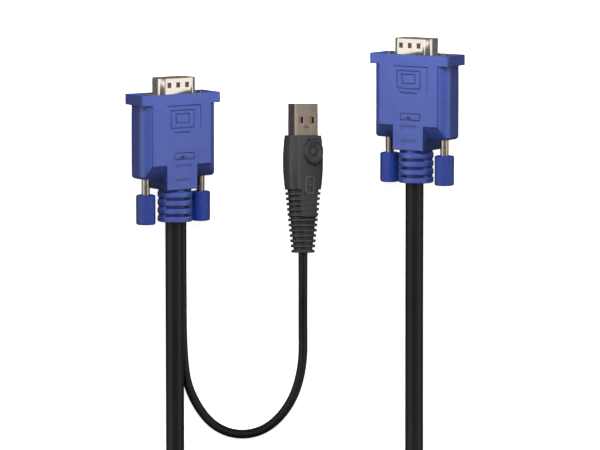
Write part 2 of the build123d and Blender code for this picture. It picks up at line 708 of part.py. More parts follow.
# ---- cables ----
def corner_radii(points):
    """For each corner, the largest arc that its two runs allow."""
    radii = []
    for before, here, after in zip(points, points[1:], points[2:]):
        arriving, leaving = here - before, after - here
        half_turn = radians(arriving.get_angle(leaving)) / 2
        radii.append(RUN_SHARE * min(arriving.length, leaving.length) / tan(half_turn))
    return radii


def cable_tube(name, points, diameter):
    """Straight runs joined by tangent arcs, swept by the cable's section."""
    points = [Vector(*point) for point in points]
    radii = corner_radii(points)
    path = FilletPolyline(*points, radius=radii)
    section = Plane(origin=points[0], z_dir=points[1] - points[0]) * Circle(diameter / 2)
    solid = sweep(section, path=path)
    expected = pi * diameter**2 / 4 * path.length
    print(f"{name}: {path.length:.1f} long, radii {[round(r) for r in radii]}")
    print(f"{name}: volume {solid.volume:.1f}, section times length {expected:.1f}")
    return solid


def route_out(place, offset_xy, start, end, out, route):
    """Points of a cable from its start inside a plug, straight out of it, and on along its route."""
    inside = point_on(place, offset_xy[0], offset_xy[1], start)
    outside = point_on(place, offset_xy[0], offset_xy[1], end - out)
    return [inside, outside] + [Vector(*point) for point in route]


def coil_profile(grow=0.0):
    """Section of the coil, in the plane through its axis."""
    radius = CABLE_DIAMETER / 2
    width = COIL_OUTER_TURN - COIL_INNER_TURN + 2 * radius
    height = COIL_LAYER_RISE + 2 * radius
    middle = ((COIL_OUTER_TURN + COIL_INNER_TURN) / 2, TIE_THICK + TIE_GAP + height / 2)
    outline = RectangleRounded(width + 2 * grow, height + 2 * grow, COIL_CORNER + grow)
    return Plane.XZ * Pos(middle[0], middle[1]) * outline


def cable_coil():
    return Pos(*COIL_AT, 0) * revolve(coil_profile(), Axis.Z, 360)


def coil_tie():
    band = coil_profile(TIE_GAP + TIE_THICK) - coil_profile(TIE_GAP)
    return Pos(*COIL_AT, 0) * Rot(0, 0, TIE_ANGLE) * revolve(band, Axis.Z, TIE_WIDE_DEG)


# ---- assembly ----
def video_plug(side, at, roll, with_lead):
    """All nodes of one video plug, and its place on the table."""
    bores = [(CABLE_OFFSET, CABLE_DIAMETER / 2 + BORE_GAP)]
    if with_lead:
        bores.append((LEAD_OFFSET, LEAD_DIAMETER / 2 + BORE_GAP))
    nodes = {
        "front_shell": front_shell(),
        "rear_shell": rear_shell(),
        "eyelets": eyelets(),
        "insulator": insulator(),
        "contact_pins": contact_pins(),
        "wires": group(wire_struts()),
        "inner_mould": inner_mould(),
        "shield_can": shield_can(bores),
        "crimp_ring": crimp_ring(bores),
        "hood": hood(bores),
    }
    if with_lead:
        nodes["splice_wires"] = splice_wires()
    for hand, place in zip(("left", "right"), screw_places()):
        for part_name, piece in (("screw", screw()), ("knob", knob()), ("clip", clip())):
            nodes[f"{hand}_{part_name}"] = Pos(*place, 0) * piece
    touching = [nodes["hood"], nodes["left_knob"], nodes["right_knob"]]
    place = resting(at, roll, VIDEO_PITCH, touching)
    return {f"{side}_{name}": place * piece for name, piece in nodes.items()}, place


def usb_plug():
    nodes = {
        "usb_shell": usb_shell(),
        "usb_tongue": usb_tongue(),
        "usb_contacts": usb_contacts(),
        "usb_wires": group(usb_wire_struts()),
        "usb_inner_mould": usb_inner_mould(),
        "usb_crimp_ring": usb_crimp_ring(),
        "usb_hood": usb_hood(),
    }
    place = resting(USB_PLUG_AT, USB_ROLL, USB_PITCH, [nodes["usb_hood"], nodes["usb_shell"]])
    return {name: place * piece for name, piece in nodes.items()}, place


def cables(pc_place, switch_place, usb_place):
    pc_points = route_out(pc_place, CABLE_OFFSET, CABLE_START, RELIEF_END, PC_CABLE_OUT, PC_CABLE_ROUTE)
    switch_points = route_out(
        switch_place, CABLE_OFFSET, CABLE_START, RELIEF_END, SWITCH_CABLE_OUT, SWITCH_CABLE_ROUTE
    )
    lead_points = route_out(pc_place, LEAD_OFFSET, CABLE_START, RELIEF_END, LEAD_OUT, LEAD_ROUTE)
    lead_points.append(point_on(usb_place, 0, 0, USB_HOOD_END - LEAD_INTO_USB))
    lead_points.append(point_on(usb_place, 0, 0, USB_LEAD_START))
    return {
        "pc_side_cable": cable_tube("pc_side_cable", pc_points, CABLE_DIAMETER),
        "switch_side_cable": cable_tube("switch_side_cable", switch_points, CABLE_DIAMETER),
        "usb_lead": cable_tube("usb_lead", lead_points, LEAD_DIAMETER),
        "cable_coil": cable_coil(),
        "coil_tie": coil_tie(),
    }


def report_place(name, place):
    """Prints what the mounts need to know about a placed plug."""
    origin = point_on(place, 0, 0, 0)
    ahead = point_on(place, 0, 0, 1) - origin
    print(f"{name}: origin {tuple(origin)}, mating direction {tuple(ahead)}")


def report_screws(name, place):
    """Prints where a video plug's two thumbscrews turn."""
    for x, y in screw_places():
        print(f"{name}: screw axis through {tuple(point_on(place, x, y, 0))}")


def main():
    os.makedirs("parts", exist_ok=True)
    pc_nodes, pc_place = video_plug("pc", PC_PLUG_AT, VIDEO_ROLL, True)
    switch_nodes, switch_place = video_plug("switch", SWITCH_PLUG_AT, -VIDEO_ROLL, False)
    usb_nodes, usb_place = usb_plug()
    nodes = {**pc_nodes, **switch_nodes, **usb_nodes, **cables(pc_place, switch_place, usb_place)}
    for name, shape in nodes.items():
        export_step(shape, f"parts/{name}.step")
    report_place("usb plug", usb_place)
    for name, place in (("pc plug", pc_place), ("switch plug", switch_place)):
        report_place(name, place)
        report_screws(name, place)


main()
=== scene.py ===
import json
from math import cos, pi, radians, sin

import bmesh
import bpy
from mathutils import Matrix, Vector

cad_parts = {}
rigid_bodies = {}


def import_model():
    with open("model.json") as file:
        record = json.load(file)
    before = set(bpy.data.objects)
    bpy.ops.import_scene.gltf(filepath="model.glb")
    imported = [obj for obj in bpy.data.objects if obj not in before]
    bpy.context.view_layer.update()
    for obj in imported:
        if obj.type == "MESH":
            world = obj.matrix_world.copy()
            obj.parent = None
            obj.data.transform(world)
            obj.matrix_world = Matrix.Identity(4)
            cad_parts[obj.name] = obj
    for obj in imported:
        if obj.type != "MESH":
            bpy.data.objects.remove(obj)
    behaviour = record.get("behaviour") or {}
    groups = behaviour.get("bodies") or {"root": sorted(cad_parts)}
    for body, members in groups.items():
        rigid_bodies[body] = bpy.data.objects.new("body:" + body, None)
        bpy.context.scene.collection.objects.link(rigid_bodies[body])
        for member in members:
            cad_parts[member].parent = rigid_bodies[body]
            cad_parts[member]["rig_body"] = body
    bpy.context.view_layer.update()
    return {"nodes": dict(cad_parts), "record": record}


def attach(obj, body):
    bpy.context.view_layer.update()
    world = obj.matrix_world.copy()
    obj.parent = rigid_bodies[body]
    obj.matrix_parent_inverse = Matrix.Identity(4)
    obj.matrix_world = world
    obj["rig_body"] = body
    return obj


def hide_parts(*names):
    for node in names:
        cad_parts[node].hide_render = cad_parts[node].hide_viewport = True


# A cable set for a keyboard, video and mouse switch. Camera, lights and stage are in metres. Plugs and cables
# are drawn in millimetres, and a plug in its own axes: X across, -Y the front, +Z the way it mates.

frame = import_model()

MM = 0.001
FULL_TURN = 2 * pi


# ---- camera ----
CAMERA_AT = (0.0019, 0.0, 1.5)
CAMERA_TILT = -1.405
CAMERA_LENS = 232.0
CAMERA_SENSOR = 36.0


def link(name, data):
    thing = bpy.data.objects.new(name, data)
    bpy.context.scene.collection.objects.link(thing)
    return thing


def make_camera():
    data = bpy.data.cameras.new("camera")
    data.lens = CAMERA_LENS
    data.sensor_width = CAMERA_SENSOR
    camera = link("camera", data)
    camera.location = CAMERA_AT
    camera.rotation_euler = (radians(CAMERA_TILT), 0, 0)
    bpy.context.scene.camera = camera


make_camera()


# ---- where the plugs lie ----
VIDEO_PITCH = 5.5
VIDEO_ROLLS = {"pc": 34.5, "switch": -34.5}
USB_ROLL = 42.5
VIDEO_MOUNT_AHEAD = 6.0
USB_MOUNT_AHEAD = 12.2
SIDES = ("pc", "switch")
HANDS = ("left", "right")


def plug_place(mount_name, ahead, pitch, roll):
    """Matrix from a plug's own axes, in millimetres, to the table's, in metres."""
    mount = next(m for m in frame["record"]["mounts"] if m["name"] == mount_name)
    turn = Matrix.Rotation(radians(pitch), 4, "X") @ Matrix.Rotation(radians(roll), 4, "Y")
    lay_down = Matrix.Rotation(radians(-90), 4, "X")
    back = Matrix.Translation((0, 0, -ahead * MM))
    return Matrix.Translation(mount["pos_m"]) @ turn @ lay_down @ back @ Matrix.Scale(MM, 4)


VIDEO_PLACES = {
    side: plug_place(f"{side}_video_plug", VIDEO_MOUNT_AHEAD, VIDEO_PITCH, roll)
    for side, roll in VIDEO_ROLLS.items()
}
USB_PLACE = plug_place("usb_plug", USB_MOUNT_AHEAD, 0.0, USB_ROLL)


# ---- shader maths ----
class Value:
    """A number or colour that varies over a surface. Sums and products add Math nodes."""

    def __init__(self, finish, socket):
        self.finish = finish
        self.socket = socket

    def maths(self, operation, *values):
        return self.finish.node("ShaderNodeMath", {"operation": operation}, dict(enumerate(values)))

    def __add__(self, other):
        return self.maths("ADD", self, other)

    __radd__ = __add__

    def __mul__(self, other):
        return self.maths("MULTIPLY", self, other)

    __rmul__ = __mul__


class Finish:
    """One material. node() adds any shader node, and shade() sets the shader's own sockets."""

    def __init__(self, name):
        self.material = bpy.data.materials.new(name)
        self.material.use_nodes = True
        self.tree = self.material.node_tree
        self.shader = self.tree.nodes["Principled BSDF"]
        self.place = self.node("ShaderNodeTexCoord", output="Object")

    def node(self, kind, settings=None, inputs=None, output=0):
        made = self.tree.nodes.new(kind)
        for name, value in (settings or {}).items():
            if name == "stops":
                self.set_stops(made.color_ramp, value)
            else:
                setattr(made, name, value)
        for key, value in (inputs or {}).items():
            self.feed(made.inputs[key], value)
        return Value(self, made.outputs[output])

    def feed(self, socket, value):
        if isinstance(value, Value):
            self.tree.links.new(value.socket, socket)
        else:
            socket.default_value = value

    def set_stops(self, ramp, stops):
        while len(ramp.elements) < len(stops):
            ramp.elements.new(0.5)
        for element, (position, colour) in zip(ramp.elements, stops):
            element.position = position
            element.color = colour

    def stretched(self, scale, place=None):
        """Coordinates stretched by a scale along each axis."""
        return self.node("ShaderNodeMapping", {}, {"Vector": place or self.place, "Scale": scale})

    def noise(self, size_mm, detail=2.0, place=None):
        """Noise from 0 to 1 whose blobs are about size_mm across."""
        inputs = {"Vector": place or self.place, "Scale": 1 / (size_mm * MM), "Detail": detail}
        return self.node("ShaderNodeTexNoise", {}, inputs)

    def mixed(self, share, low, high):
        return self.node("ShaderNodeMix", {"data_type": "RGBA"}, {0: share, 6: low, 7: high}, output=2)

    def bump(self, height, depth_mm):
        inputs = {"Height": height, "Distance": depth_mm * MM, "Strength": 1.0}
        return self.node("ShaderNodeBump", {}, inputs)

    def shade(self, **sockets):
        """Sets the shader's sockets, named in words: base_color is Base Color."""
        for name, value in sockets.items():
            words = name.replace("_", " ").title().replace("Ior", "IOR")
            self.feed(self.shader.inputs[words], value)
        return self.material


def tone(red, green, blue):
    """Linear colour of a display colour given from 0 to 255."""
    linear = []
    for level in (red, green, blue):
        share = level / 255
        linear.append(share / 12.92 if share <= 0.04045 else ((share + 0.055) / 1.055) ** 2.4)
    return (*linear, 1.0)


# ---- finishes ----
VINYL_GLEAM = 0.8


def moulded_vinyl(name, low, high, shine, grain_depth):
    """Flexible vinyl with a fine spark-eroded grain and slightly uneven colour and gloss."""
    finish = Finish(name)
    cloud = finish.noise(7.0, 3.0)
    grain = finish.noise(0.16, 3.0)
    dimples = finish.noise(0.45, 2.0)
    colour = finish.mixed(cloud, low, high)
    rough = shine + 0.10 * finish.noise(2.2, 4.0) + 0.06 * grain
    surface = finish.bump(grain * 0.7 + dimples * 0.3, grain_depth)
    return finish.shade(base_color=colour, roughness=rough, specular_ior_level=VINYL_GLEAM, normal=surface)


def plated_metal(name, low, high, shine, stretch, streak_depth):
    """Plated sheet metal with uneven gloss and faint drawing streaks, long where stretch is small."""
    finish = Finish(name)
    cloud = finish.noise(3.0, 3.0)
    streaks = finish.noise(0.35, 4.0, finish.stretched((1.0, stretch, 1.0)))
    colour = finish.mixed(cloud * 0.6 + streaks * 0.4, low, high)
    rough = shine + 0.14 * streaks + 0.08 * cloud
    surface = finish.bump(streaks, streak_depth)
    return finish.shade(base_color=colour, roughness=rough, metallic=1.0, normal=surface)


def turned_steel():
    """Bright turned steel, with fine rings across its length."""
    finish = Finish("screw_steel")
    rings = finish.noise(0.22, 2.0, finish.stretched((0.02, 1.0, 0.02)))
    cloud = finish.noise(2.5, 3.0)
    colour = finish.mixed(cloud, tone(140, 133, 118), tone(196, 188, 172))
    rough = 0.18 + 0.10 * rings + 0.06 * cloud
    return finish.shade(base_color=colour, roughness=rough, metallic=1.0, normal=finish.bump(rings, 0.003))


def cable_jacket(name, length_mm, rings_per_mm):
    """Extruded black vinyl with a faint texture across the cable's length."""
    finish = Finish(name)
    along = finish.node("ShaderNodeTexCoord", output="UV")
    rings = finish.noise(1 / MM, 3.0, finish.stretched((length_mm * rings_per_mm, 5.0, 1.0), along))
    grain = finish.noise(0.14, 3.0)
    cloud = finish.noise(6.0, 3.0)
    colour = finish.mixed(cloud * 0.7 + rings * 0.3, tone(7, 7, 8), tone(16, 16, 17))
    rough = 0.36 + 0.12 * cloud + 0.08 * grain
    surface = finish.bump(rings * 0.8 + grain * 0.2, 0.05)
    return finish.shade(base_color=colour, roughness=rough, specular_ior_level=0.36, normal=surface)


def strap_fabric():
    """Hook and loop strap: a woven ground under fine fuzzy loops."""
    finish = Finish("tie_fabric")
    loops = finish.noise(0.35, 4.0)
    ground = finish.node("ShaderNodeTexVoronoi", {}, {"Vector": finish.place, "Scale": 1 / (0.7 * MM)})
    colour = finish.mixed(loops, tone(16, 16, 18), tone(52, 52, 56))
    surface = finish.bump(loops * 0.6 + ground * 0.4, 0.3)
    return finish.shade(base_color=colour, roughness=0.82 + 0.15 * loops, normal=surface)


def wire_colours():
    """Conductors' insulation, in colours that change from wire to wire."""
    finish = Finish("wire_insulation")
    stops = ((0.3, tone(150, 30, 26)), (0.5, tone(40, 110, 60)), (0.7, tone(40, 60, 150)))
    pick = finish.node("ShaderNodeTexWhiteNoise", {}, {"Vector": finish.stretched((900.0, 0.0, 900.0))})
    colour = finish.node("ShaderNodeValToRGB", {"stops": stops}, {0: pick})
    return finish.shade(base_color=colour, roughness=0.4 + 0.1 * finish.noise(0.5))


# Name: two colours that cloud into each other, roughness, depth of the grain.
VINYLS = {
    "blue_vinyl": (tone(48, 69, 151), tone(62, 85, 166), 0.34, 0.020),
    "knob_plastic": (tone(6, 42, 132), tone(14, 53, 148), 0.36, 0.010),
    "black_vinyl": (tone(34, 33, 34), tone(48, 46, 47), 0.38, 0.018),
    "insulator": (tone(20, 20, 22), tone(30, 30, 32), 0.40, 0.008),
    "inner_mould": (tone(214, 212, 202), tone(232, 230, 222), 0.45, 0.010),
    # Darker blue that paints shade onto the floors of the hood's recessed marks.
    "blue_groove_painted_shade": (tone(26, 42, 112), tone(34, 52, 126), 0.45, 0.010),
    # Lighter grey paints the symbol's edge highlights on; its lower roughness is real gloss.
    "painted_highlight_vinyl": (tone(74, 72, 73), tone(88, 86, 87), 0.20, 0.004),
}
# Name: two colours that cloud into each other, roughness, stretch of the streaks, depth of the streaks.
METALS = {
    "plated_shell": (tone(214, 204, 190), tone(238, 230, 219), 0.16, 0.25, 0.0012),
    "usb_steel": (tone(158, 138, 114), tone(192, 172, 146), 0.20, 0.06, 0.006),
    "contact_metal": (tone(204, 160, 82), tone(226, 186, 108), 0.18, 0.2, 0.003),
    "dimple_shadow": (tone(96, 84, 74), tone(122, 108, 96), 0.40, 0.25, 0.001),
}
FINISHES = {
    **{name: moulded_vinyl(name, *recipe) for name, recipe in VINYLS.items()},
    **{name: plated_metal(name, *recipe) for name, recipe in METALS.items()},
    "screw_steel": turned_steel(),
    "wire_insulation": wire_colours(),
    "tie_fabric": strap_fabric(),
}
SLOTS = {row["node"]: row["material_slot"] for row in frame["record"]["subparts"]}


# ---- pieces ----
def settle(piece, body, slot, material, *nodes):
    """Gives a finished piece its material and its body, and hides the CAD nodes that it stands for."""
    piece.data.materials.clear()
    piece.data.materials.append(material)
    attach(piece, body)
    if nodes:
        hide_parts(*nodes)
    return piece


def mesh_piece(name, shape, place):
    """Object of a bmesh drawn in a plug's own axes, put in place in its mesh."""
    bmesh.ops.transform(shape, matrix=place, verts=shape.verts)
    data = bpy.data.meshes.new(name)
    shape.to_mesh(data)
    shape.free()
    return link(name, data)


MERGE_GAP = 0.002 * MM
SMOOTH_DEGREES = 34.0


def smooth_by_angle(piece):
    """Smooth shading, with sharp edges kept crisp and flat faces kept flat."""
    piece.data.shade_smooth()
    piece.data.set_sharp_from_angle(angle=radians(SMOOTH_DEGREES))
    weighted = piece.modifiers.new("flat faces", "WEIGHTED_NORMAL")
    weighted.keep_sharp = True


def finished_copy(node):
    """Merged and smoothed copy of a CAD node, which stands for it."""
    source = frame["nodes"][node]
    shape = bmesh.new()
    shape.from_mesh(source.data)
    bmesh.ops.remove_doubles(shape, verts=shape.verts, dist=MERGE_GAP)
    bmesh.ops.dissolve_degenerate(shape, dist=MERGE_GAP, edges=shape.edges)
    piece = mesh_piece(f"{node}_finished", shape, Matrix.Identity(4))
    smooth_by_angle(piece)
    slot = SLOTS[node]
    return settle(piece, source["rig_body"], slot, FINISHES[slot], node)


def rectangle(width, height):
    """Flat rectangle round its own centre."""
    shape = bmesh.new()
    bmesh.ops.create_grid(shape, x_segments=1, y_segments=1, size=0.5)
    bmesh.ops.scale(shape, vec=(width, height, 1), verts=shape.verts)
    return shape


def round_corners(shape, radius, steps):
    bmesh.ops.bevel(shape, geom=shape.verts, offset=radius, affect="VERTICES",
                    segments=steps, profile=0.5, material=-1)


# ---- cables ----
CABLE_DIAMETER = 7.05
LEAD_DIAMETER = 3.5
# Where the cables start inside a video plug and leave its strain relief, how far they lie from its axis, and
# how far they run straight on.
CABLE_START = -27.5
RELIEF_END = -49.5
CABLE_OFFSET = (-0.3, -1.2)
LEAD_OFFSET = (4.534, 0.912)
CABLE_OUT = 26.0
LEAD_OUT = 17.0
# Control points on the table, from the plugs onwards.
PC_CABLE_ROUTE = ((-46.5, -104.0, 5.0), (-46.4, -143.0, 4.35))
SWITCH_CABLE_ROUTE = ((46.1, -90.0, 4.2), (46.1, -133.0, 4.3))
LEAD_ROUTE = (
    (-43.6, -92.5, 2.0),
    (-39.2, -105.5, 1.8),
    (-31.4, -115.4, 1.8),
    (-20.5, -118.8, 1.8),
    (-9.5, -115.4, 1.8),
    (-0.8, -105.0, 1.8),
    (3.15, -91.0, 1.8),
    (3.0, -74.5, 2.6),
)
USB_HOOD_END = -45.3
LEAD_INTO_USB = 11.0
USB_LEAD_START = -17.0
# The coil. Its cable steps from turn to turn and from layer to layer, at places and over lengths in turns.
COIL_AT = (0.0, -180.0)
COIL_INNER_TURN = 31.4
COIL_OUTER_TURN = COIL_INNER_TURN + 2 * CABLE_DIAMETER
COIL_OFF_TABLE = 0.9
COIL_LOW = COIL_OFF_TABLE + CABLE_DIAMETER / 2
COIL_TURNS = 5.5
COIL_POINTS_PER_TURN = 16
STEPS_IN = (0.84, 1.84)
STEP_IN_LONG = 0.14
STEP_UP = 2.70
STEP_UP_LONG = 0.14
STEPS_OUT = (3.50, 4.50)
STEP_OUT_LONG = 0.18
CABLE_LENGTH = 1.69
LEAD_LENGTH = 0.228


def eased(value, start, long):
    """0 before start and 1 past start + long, smooth between."""
    share = min(max((value - start) / long, 0.0), 1.0)
    return share * share * (3 - 2 * share)


def coil_point(turn):
    """Control point of the coil after some turns, inwards in the lower layer and outwards in the upper."""
    steps_in = sum(eased(turn, start, STEP_IN_LONG) for start in STEPS_IN)
    steps_out = sum(eased(turn, start, STEP_OUT_LONG) for start in STEPS_OUT)
    radius = COIL_OUTER_TURN + CABLE_DIAMETER * (steps_out - steps_in)
    reach = radius / cos(pi / COIL_POINTS_PER_TURN)
    angle = pi + FULL_TURN * turn
    height = COIL_LOW + CABLE_DIAMETER * eased(turn, STEP_UP, STEP_UP_LONG)
    return (COIL_AT[0] + reach * cos(angle), COIL_AT[1] + reach * sin(angle), height)


def coil_points():
    steps = int(COIL_TURNS * COIL_POINTS_PER_TURN)
    return [coil_point(step / COIL_POINTS_PER_TURN) for step in range(steps + 1)]


def way_out(side, offset, out):
    """First two points of a cable: inside the plug, and straight out past its strain relief."""
    place = VIDEO_PLACES[side]
    return [place @ Vector((*offset, CABLE_START)), place @ Vector((*offset, RELIEF_END - out))]


def metres(points):
    return [Vector(point) * MM for point in points]


def cord_curve(name, points, diameter):
    """Round cord on one smooth spline with the points as its control points."""
    data = bpy.data.curves.new(name, "CURVE")
    data.dimensions = "3D"
    spline = data.splines.new("NURBS")
    spline.points.add(len(points) - 1)
    for knot, point in zip(spline.points, points):
        knot.co = (*point, 1.0)
    spline.order_u = 3
    spline.use_endpoint_u = True
    spline.resolution_u = 10
    data.bevel_depth = diameter / 2 * MM
    data.bevel_resolution = 8
    data.use_fill_caps = True
    return link(name, data)


def make_cable():
    """The thick cable, from one video plug through the coil to the other."""
    points = way_out("pc", CABLE_OFFSET, CABLE_OUT) + metres(PC_CABLE_ROUTE)
    points += metres(coil_points())
    points += metres(reversed(SWITCH_CABLE_ROUTE)) + way_out("switch", CABLE_OFFSET, CABLE_OUT)[::-1]
    cable = cord_curve("main_cable", points, CABLE_DIAMETER)
    material = cable_jacket("cable_jacket", CABLE_LENGTH / MM, rings_per_mm=1.4)
    settle(cable, "root", "cable_jacket", material, "pc_side_cable", "cable_coil", "switch_side_cable")
    leaves = VIDEO_PLACES["pc"] @ Vector((*CABLE_OFFSET, RELIEF_END))
    return cable, leaves


def make_lead():
    """The thin USB lead, from the strain relief of one video plug to the USB plug."""
    points = way_out("pc", LEAD_OFFSET, LEAD_OUT) + metres(LEAD_ROUTE)
    points.append(USB_PLACE @ Vector((0, 0, USB_HOOD_END - LEAD_INTO_USB)))
    points.append(USB_PLACE @ Vector((0, 0, USB_LEAD_START)))
    lead = cord_curve("usb_lead_cord", points, LEAD_DIAMETER)
    material = cable_jacket("lead_jacket", LEAD_LENGTH / MM, rings_per_mm=2.0)
    settle(lead, "root", "cable_jacket", material, "usb_lead")
    leaves = VIDEO_PLACES["pc"] @ Vector((*LEAD_OFFSET, RELIEF_END))
    return lead, leaves


cable, cable_leaves = make_cable()
lead, lead_leaves = make_lead()


# ---- floor, backdrop and light ----
FLOOR_SIDE = 8.0
FLOOR_Z = -0.0001
FLOOR_TONE = 0.9
FLOOR_GLOW = 1.0
ROOM_LIGHT = 0.14
DOME_RADIUS = 3.9
# Name, place, target, width and height, power, and whether it is only seen in reflections.
LIGHTS = (
    ("key_box", (0.0, 0.50, 0.80), (0.0, -0.02, 0.0), (0.70, 0.50), 4.0, False),
    ("near_box", (0.0, 0.12, 0.17), (0.0, 0.01, 0.0), (0.03, 0.10), 0.34, False),
    ("left_card", (-0.8, 0.0, 0.36), (0.0, 0.0, 0.02), (1.20, 0.76), 3.2, True),
    ("right_card", (0.8, 0.0, 0.36), (0.0, 0.0, 0.02), (1.20, 0.76), 3.2, True),
    ("high_card", (-0.57, 0.0, 0.70), (0.0, 0.0, 0.02), (0.40, 0.40), 0.45, True),
    ("gleam_box", (0.0, 0.10, 0.80), (0.0, 0.10, 0.0), (0.80, 0.29), 1.0, True),
    ("usb_card", (0.030, 0.004, 0.012), (0.0, 0.004, 0.009), (0.022, 0.040), 0.0012, True),
)


def keep_off(thing):
    """Keeps a stage piece out of the light and the reflections that reach the object."""
    thing.visible_diffuse = False
    thing.visible_glossy = False


def make_floor():
    shape = bmesh.new()
    bmesh.ops.create_grid(shape, x_segments=1, y_segments=1, size=FLOOR_SIDE / 2)
    floor = mesh_piece("floor", shape, Matrix.Translation((0, 0, FLOOR_Z)))
    pale = (FLOOR_TONE, FLOOR_TONE, FLOOR_TONE, 1.0)
    paper = Finish("floor_paper").shade(
        base_color=pale, roughness=0.9, emission_color=pale, emission_strength=FLOOR_GLOW)
    floor.data.materials.append(paper)
    keep_off(floor)


def make_backdrop():
    shape = bmesh.new()
    bmesh.ops.create_icosphere(shape, subdivisions=4, radius=DOME_RADIUS)
    dome = mesh_piece("backdrop", shape, Matrix.Identity(4))
    paper = Finish("backdrop_paper").shade(
        base_color=(0, 0, 0, 1), roughness=1.0, emission_color=(1, 1, 1, 1), emission_strength=1.0)
    dome.data.materials.append(paper)
    keep_off(dome)
    dome.visible_shadow = False


def area_light(name, place, target, size, power, gleam):
    """Soft box that the camera can't see. With gleam it only makes reflections, and without gleam none."""
    data = bpy.data.lights.new(name, "AREA")
    data.shape = "RECTANGLE"
    data.size, data.size_y = size
    data.energy = power
    light = link(name, data)
    light.location = place
    light.rotation_euler = (Vector(target) - Vector(place)).to_track_quat("-Z", "Y").to_euler()
    light.visible_camera = False
    light.visible_glossy = gleam
    light.visible_diffuse = not gleam


def make_surroundings():
    """Dim even room light."""
    world = bpy.data.worlds.new("studio")
    world.use_nodes = True
    background = world.node_tree.nodes["Background"]
    background.inputs["Color"].default_value = (1.0, 1.0, 1.0, 1.0)
    background.inputs["Strength"].default_value = ROOM_LIGHT
    bpy.context.scene.world = world


make_floor()
make_backdrop()
for light in LIGHTS:
    area_light(*light)
make_surroundings()
bpy.context.scene.view_settings.view_transform = "Standard"


# ---- video plugs ----
# Points this near a surface count as on it.
HAIR = 0.02
SHELL_DEEP = 9.2
DIMPLE_X = (-4.5, -0.5, 3.5)
DIMPLE_WIDE = 1.7
DIMPLE_TALL = 2.0
DIMPLE_DEPTH = 0.2
DIMPLE_Z = 3.3
HEAD_DEEP = 13.2
MARK_DEPTH = 0.25
GATE_DEPTH = 0.5
MARKS_HALF = 9.2
MARKS_LOW = -26.0
SCREW_SPACING = 24.99
SCREW_RADIUS = 1.6
SCREW_SEGMENTS = 48
CHAMFER = 0.2
THREAD_RADIUS = 1.42
THREAD_ROOT = 1.08
THREAD_PITCH = 0.635
THREAD_STEPS = 24
THREAD_RUN_OUT = 1.6
THREAD_RISE = 0.4
THREAD_SUNK = 0.1
THREAD_LONG = 5.2
THREAD_TIP = 0.5
NECK_RADIUS = 1.25
SHOULDER_Z = -7.9
KNOB_RADIUS = 3.75
KNOB_TOP = -38.7
KNOB_END = -50.1
KNOB_FLOOR = 1.2
KNOB_FLUTES = 32
FLUTE_DEEP = 0.16
KNOB_CHAMFER = 0.55
KNOB_ROUND = 0.7
KNOB_DISH = 0.35
KNOB_DISH_MIDDLE = 0.45
KNOB_DISH_EDGE = 0.5
KNOB_FOOT_EDGE = 0.3
POINTS_PER_FLUTE = 4
CLIP_GROOVE = 1.2
CLIP_Z = -30.9
CLIP_THICK = 0.8
CLIP_GAP = 0.04


def in_dimple(point):
    """True on the floor of a dimple of the D shell."""
    deep = point.y + SHELL_DEEP / 2
    beside = min(abs(point.x - x) for x in DIMPLE_X)
    above = abs(point.z - DIMPLE_Z)
    floor = HAIR < deep < DIMPLE_DEPTH + HAIR
    return floor and beside < DIMPLE_WIDE / 2 + HAIR and above < DIMPLE_TALL / 2 + HAIR


def in_cut(depth):
    """Test that is true on the floor of a cut of one depth in the hood's front panel."""

    def inside(point):
        floor = abs(point.y + HEAD_DEEP / 2 - depth) < HAIR
        return floor and abs(point.x) < MARKS_HALF and point.z > MARKS_LOW

    return inside


def tint(piece, place, inside, material):
    """Second material for the faces whose centres, in a plug's own axes, pass a test."""
    piece.data.materials.append(material)
    last = len(piece.data.materials) - 1
    back = place.inverted()
    for face in piece.data.polygons:
        if inside(back @ face.center):
            face.material_index = last


def lathe(shape, profile, segments):
    """Closed turned solid from (radius, height) pairs, from one end's centre to the other's."""
    radius, height = profile[0]
    ring = bmesh.ops.create_circle(shape, segments=segments, radius=radius, cap_ends=True)["verts"]
    bmesh.ops.translate(shape, vec=(0, 0, height), verts=ring)
    edges = list({edge for vert in ring for edge in vert.link_edges})
    for step_radius, step_height in profile[1:]:
        grown = bmesh.ops.extrude_edge_only(shape, edges=edges)["geom"]
        ring = [item for item in grown if isinstance(item, bmesh.types.BMVert)]
        edges = [item for item in grown if isinstance(item, bmesh.types.BMEdge)]
        share = step_radius / radius
        bmesh.ops.scale(shape, vec=(share, share, 1), verts=ring)
        bmesh.ops.translate(shape, vec=(0, 0, step_height - height), verts=ring)
        radius, height = step_radius, step_height
    bmesh.ops.contextual_create(shape, geom=edges)
    bmesh.ops.recalc_face_normals(shape, faces=shape.faces)


def add_thread(shape):
    """Helical ridge of three-sided section, from the neck to the tip."""
    low = THREAD_TIP - THREAD_LONG + THREAD_PITCH / 2
    turns = (THREAD_LONG - THREAD_RUN_OUT * THREAD_PITCH) / THREAD_PITCH
    rise = THREAD_PITCH * THREAD_RISE
    foot = THREAD_ROOT - THREAD_SUNK
    corners = ((foot, -rise), (THREAD_RADIUS, 0.0), (foot, rise))
    verts = [shape.verts.new((radius, 0, low + height)) for radius, height in corners]
    start = shape.faces.new(verts)
    steps = int(turns * THREAD_STEPS)
    bmesh.ops.spin(
        shape, geom=[start, *start.edges, *verts], cent=(0, 0, 0), axis=(0, 0, 1),
        dvec=(0, 0, THREAD_PITCH / THREAD_STEPS), angle=FULL_TURN * turns, steps=steps, use_duplicate=False,
    )
    bmesh.ops.recalc_face_normals(shape, faces=shape.faces)


def screw_place(side, hand):
    x = SCREW_SPACING / 2 * (1 if hand == "right" else -1)
    return VIDEO_PLACES[side] @ Matrix.Translation((x, 0, 0))


